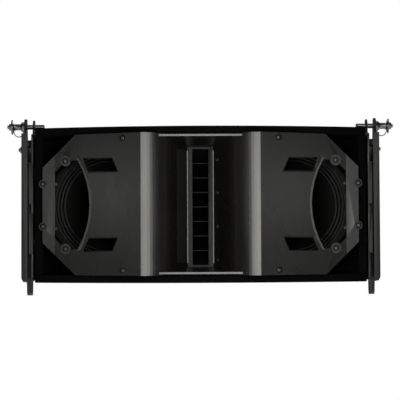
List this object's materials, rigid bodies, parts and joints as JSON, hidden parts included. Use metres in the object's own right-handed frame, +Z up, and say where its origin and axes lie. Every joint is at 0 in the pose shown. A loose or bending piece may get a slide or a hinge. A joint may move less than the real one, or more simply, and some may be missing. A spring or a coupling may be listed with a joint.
{
  "type": "line array speaker",
  "caption": "Passive two-way line array loudspeaker with twin woofers behind an octagonal horn moulding and side rigging with quick-release pins.",
  "frame": {"origin": "centre of the box of the whole speaker, links and pins included", "axes": "+X to the right seen from the front, the horn faces -Y, +Z is up"},
  "size_m": [0.7756, 0.414, 0.3542],
  "materials": {
    "cabinet_paint": "black textured paint on plywood",
    "moulded_plastic": "satin black moulding",
    "black_steel": "black powder coat",
    "bright_steel": "bright steel",
    "ferrite": "sintered ferrite",
    "surround_cloth": "doped cloth",
    "cone_paper": "black paper pulp",
    "copper": "enamelled winding",
    "circuit_board": "green board"
  },
  "bodies": {
    "root": {"cabinet_top": "cabinet_paint", "cabinet_bottom": "cabinet_paint", "cabinet_side_right": "cabinet_paint", "cabinet_side_left": "cabinet_paint", "cabinet_rear": "cabinet_paint", "connector_plate": "black_steel", "speaker_socket_in": "moulded_plastic", "speaker_socket_link": "moulded_plastic", "rear_handle_right": "moulded_plastic", "rear_handle_left": "moulded_plastic", "baffle_board_right": "cabinet_paint", "baffle_board_left": "cabinet_paint", "front_moulding": "moulded_plastic", "hf_waveguide": "moulded_plastic", "hf_driver_body": "ferrite", "hf_driver_cap": "moulded_plastic", "throat_cover_strip": "moulded_plastic", "crossover_board": "circuit_board", "crossover_coil_large": "copper", "crossover_coil_small": "copper", "woofer_basket_left": "black_steel", "woofer_surround_left": "surround_cloth", "woofer_spider_left": "surround_cloth", "woofer_top_plate_left": "black_steel", "woofer_magnet_left": "ferrite", "woofer_yoke_left": "black_steel", "rigging_outer_plate_left": "black_steel", "rigging_inner_plate_left": "black_steel", "woofer_basket_right": "black_steel", "woofer_surround_right": "surround_cloth", "woofer_spider_right": "surround_cloth", "woofer_top_plate_right": "black_steel", "woofer_magnet_right": "ferrite", "woofer_yoke_right": "black_steel", "rigging_outer_plate_right": "black_steel", "rigging_inner_plate_right": "black_steel"},
    "cone_left": {"woofer_cone_left": "cone_paper", "woofer_dust_cap_left": "cone_paper", "woofer_voice_coil_left": "copper"},
    "front_link_left": {"front_link_bar_left": "black_steel"},
    "rear_arm_left": {"rear_splay_arm_left": "black_steel"},
    "front_pin_body_left": {"front_pin_left": "bright_steel"},
    "front_button_body_left": {"front_pin_button_left": "bright_steel"},
    "rear_pin_body_left": {"rear_pin_left": "bright_steel"},
    "rear_button_body_left": {"rear_pin_button_left": "bright_steel"},
    "cone_right": {"woofer_cone_right": "cone_paper", "woofer_dust_cap_right": "cone_paper", "woofer_voice_coil_right": "copper"},
    "front_link_right": {"front_link_bar_right": "black_steel"},
    "rear_arm_right": {"rear_splay_arm_right": "black_steel"},
    "front_pin_body_right": {"front_pin_right": "bright_steel"},
    "front_button_body_right": {"front_pin_button_right": "bright_steel"},
    "rear_pin_body_right": {"rear_pin_right": "bright_steel"},
    "rear_button_body_right": {"rear_pin_button_right": "bright_steel"}
  },
  "joints": [
    {"name": "cone_left_travel", "type": "slide", "parent": "root", "child": "cone_left", "axis": [0, -1, 0], "range_m": [-0.008, 0.008], "stiffness_N_per_m": 4000},
    {"name": "front_link_left_retract", "type": "slide", "parent": "root", "child": "front_link_left", "axis": [0, 0, 1], "range_m": [0, 0.026]},
    {"name": "rear_arm_left_swing", "type": "hinge", "parent": "root", "child": "rear_arm_left", "pos_m": [-0.342, 0.15095, -0.06588], "axis": [-1, 0, 0], "range_deg": [0, 165]},
    {"name": "front_pin_left_pull", "type": "slide", "parent": "root", "child": "front_pin_body_left", "axis": [-1, 0, 0], "range_m": [0, 0.075]},
    {"name": "front_pin_left_button", "type": "slide", "parent": "front_pin_body_left", "child": "front_button_body_left", "axis": [1, 0, 0], "range_m": [0, 0.003], "stiffness_N_per_m": 400},
    {"name": "rear_pin_left_pull", "type": "slide", "parent": "root", "child": "rear_pin_body_left", "axis": [-1, 0, 0], "range_m": [0, 0.075]},
    {"name": "rear_pin_left_button", "type": "slide", "parent": "rear_pin_body_left", "child": "rear_button_body_left", "axis": [1, 0, 0], "range_m": [0, 0.003], "stiffness_N_per_m": 400},
    {"name": "cone_right_travel", "type": "slide", "parent": "root", "child": "cone_right", "axis": [0, -1, 0], "range_m": [-0.008, 0.008], "stiffness_N_per_m": 4000},
    {"name": "front_link_right_retract", "type": "slide", "parent": "root", "child": "front_link_right", "axis": [0, 0, 1], "range_m": [0, 0.026]},
    {"name": "rear_arm_right_swing", "type": "hinge", "parent": "root", "child": "rear_arm_right", "pos_m": [0.342, 0.15095, -0.06588], "axis": [-1, 0, 0], "range_deg": [0, 165]},
    {"name": "front_pin_right_pull", "type": "slide", "parent": "root", "child": "front_pin_body_right", "axis": [1, 0, 0], "range_m": [0, 0.075]},
    {"name": "front_pin_right_button", "type": "slide", "parent": "front_pin_body_right", "child": "front_button_body_right", "axis": [-1, 0, 0], "range_m": [0, 0.003], "stiffness_N_per_m": 400},
    {"name": "rear_pin_right_pull", "type": "slide", "parent": "root", "child": "rear_pin_body_right", "axis": [1, 0, 0], "range_m": [0, 0.075]},
    {"name": "rear_pin_right_button", "type": "slide", "parent": "rear_pin_body_right", "child": "rear_button_body_right", "axis": [-1, 0, 0], "range_m": [0, 0.003], "stiffness_N_per_m": 400}
  ]
}
